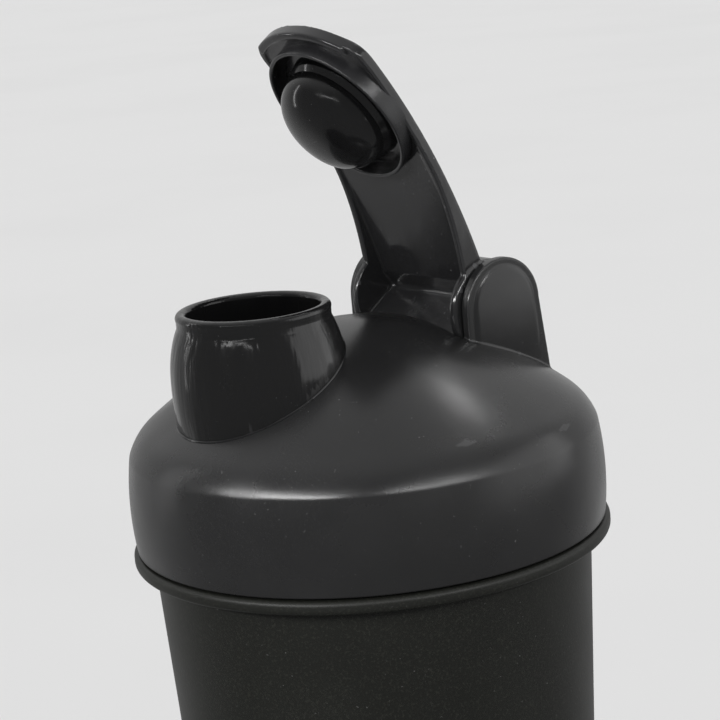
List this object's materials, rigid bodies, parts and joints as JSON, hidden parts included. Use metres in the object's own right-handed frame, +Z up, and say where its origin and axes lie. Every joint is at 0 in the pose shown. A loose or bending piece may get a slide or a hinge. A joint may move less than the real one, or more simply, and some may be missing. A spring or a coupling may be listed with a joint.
{
  "type": "protein shaker bottle",
  "caption": "Tapered drinking shaker with a screw lid, round pouring spout, hinged flip cap with a domed plug, seal ring and loose wire whisk ball.",
  "frame": {"origin": "centre of the cup's foot, on the surface it stands on", "axes": "+Z up along the cup's axis, the spout towards -Y, the hinge towards +Y, +X along the hinge axis"},
  "size_m": [0.0978, 0.0978, 0.2683],
  "materials": {
    "cup_plastic": "fine-grained satin, smoky olive black",
    "lid_plastic": "satin black, with a polished spout",
    "cap_plastic": "polished black",
    "seal_silicone": "soft matte silicone",
    "whisk_wire": "drawn stainless wire"
  },
  "bodies": {
    "cup": {"cup": "cup_plastic"},
    "seal": {"lid_seal": "seal_silicone"},
    "lid": {"lid": "lid_plastic"},
    "flip_cap": {"flip_cap": "cap_plastic"},
    "whisk_ball": {"whisk_ball": "whisk_wire"}
  },
  "joints": [
    {"name": "lid_rise", "type": "slide", "parent": "cup", "child": "seal", "axis": [0, 0, 1], "range_m": [0, 0.0075]},
    {"name": "lid_turn", "type": "hinge", "parent": "seal", "child": "lid", "pos_m": [0, 0, 0.1657], "axis": [0, 0, 1], "range_deg": [0, 450]},
    {"name": "cap_flip", "type": "hinge", "parent": "lid", "child": "flip_cap", "pos_m": [0, 0.0228, 0.208], "axis": [-1, 0, 0], "range_deg": [-55.5, 70]},
    {"name": "ball_shake", "type": "slide", "parent": "cup", "child": "whisk_ball", "axis": [0, 0, 1], "range_m": [0, 0.14]}
  ],
  "couplings": [
    {"joint": "lid_rise", "follows": "lid_turn", "m_per_rad": 0.00095493}
  ]
}
